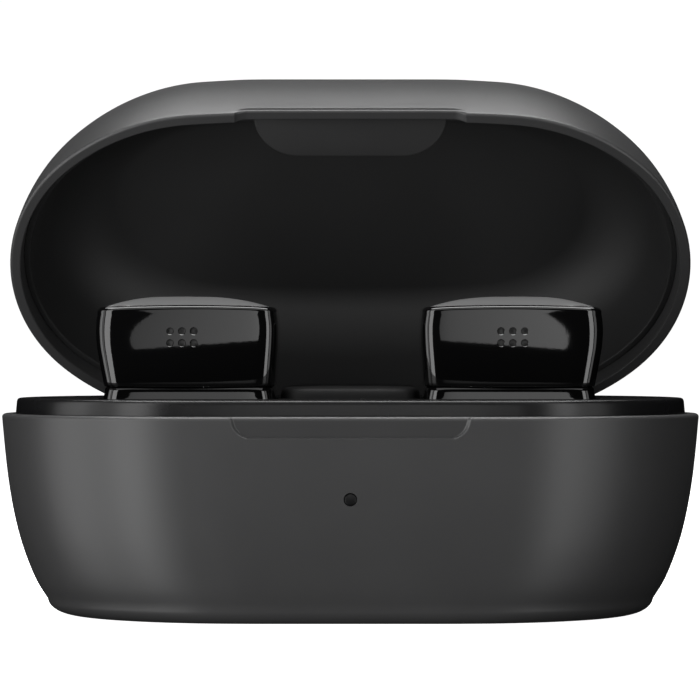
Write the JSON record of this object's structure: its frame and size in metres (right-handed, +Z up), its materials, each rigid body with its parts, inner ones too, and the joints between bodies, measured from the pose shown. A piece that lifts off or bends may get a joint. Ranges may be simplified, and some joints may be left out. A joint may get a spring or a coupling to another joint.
{
  "type": "wireless earbuds case",
  "caption": "Oval flip-top charging case standing open, with a pair of in-ear wireless earbuds seated in its cradle.",
  "frame": {"origin": "middle of the flat underside", "axes": "+X across the case to the viewer's right, -Y the front with the indicator, +Y the hinge side, +Z up; the lid stands open"},
  "size_m": [0.07, 0.0471, 0.0546],
  "materials": {
    "case_plastic": "fine satin texture",
    "tray_gloss": "polished",
    "liner_matte": "fine matte",
    "bud_gloss": "polished",
    "bud_satin": "satin",
    "silicone": "soft matte",
    "steel": "satin",
    "magnet": "nickel plated",
    "gold": "gold plated",
    "cell_foil": "foil",
    "cell_steel": "satin",
    "circuit_board": "solder mask",
    "flex_film": "polyimide film",
    "light_pipe": "clear moulding",
    "driver": "moulded",
    "mesh_dark": "woven mesh"
  },
  "bodies": {
    "base": {"base_shell": "case_plastic", "cradle_tray": "tray_gloss", "hinge_pin": "steel", "base_closure_magnets": "magnet", "battery_cell": "cell_foil", "main_board": "circuit_board", "usb_board": "circuit_board", "usb_c_port": "steel", "led_board": "circuit_board", "light_pipe": "light_pipe", "led_flex": "flex_film", "pogo_housings_left": "tray_gloss", "pogo_housings_right": "tray_gloss", "cradle_magnet_left": "magnet", "cradle_magnet_right": "magnet"},
    "lid": {"lid_shell": "case_plastic", "lid_liner": "liner_matte", "lid_closure_magnets": "magnet"},
    "earbud_left": {"earbud_left_outer_shell": "bud_gloss", "earbud_left_touch_cap": "bud_satin", "earbud_left_inner_housing": "bud_gloss", "earbud_left_contacts": "gold", "earbud_left_ear_tip": "silicone", "earbud_left_nozzle_mesh": "steel", "earbud_left_speaker_driver": "driver", "earbud_left_button_cell": "cell_steel", "earbud_left_circuit_board": "circuit_board", "earbud_left_microphone_mesh": "mesh_dark"},
    "earbud_right": {"earbud_right_outer_shell": "bud_gloss", "earbud_right_touch_cap": "bud_satin", "earbud_right_inner_housing": "bud_gloss", "earbud_right_contacts": "gold", "earbud_right_ear_tip": "silicone", "earbud_right_nozzle_mesh": "steel", "earbud_right_speaker_driver": "driver", "earbud_right_button_cell": "cell_steel", "earbud_right_circuit_board": "circuit_board", "earbud_right_microphone_mesh": "mesh_dark"},
    "contact_pins_left": {"pogo_pins_left": "gold"},
    "contact_pins_right": {"pogo_pins_right": "gold"}
  },
  "joints": [
    {"name": "lid_hinge", "type": "hinge", "parent": "base", "child": "lid", "pos_m": [0, 0.01715, 0.01953], "axis": [-1, 0, 0], "range_deg": [-59, 0]},
    {"name": "earbud_left_lift", "type": "slide", "parent": "base", "child": "earbud_left", "axis": [0, 0, 1], "range_m": [0, 0.012]},
    {"name": "earbud_right_lift", "type": "slide", "parent": "base", "child": "earbud_right", "axis": [0, 0, 1], "range_m": [0, 0.012]},
    {"name": "contact_pins_left_press", "type": "slide", "parent": "base", "child": "contact_pins_left", "axis": [0, 0, 1], "range_m": [-0.0005, 0], "stiffness_N_per_m": 600},
    {"name": "contact_pins_right_press", "type": "slide", "parent": "base", "child": "contact_pins_right", "axis": [0, 0, 1], "range_m": [-0.0005, 0], "stiffness_N_per_m": 600}
  ]
}
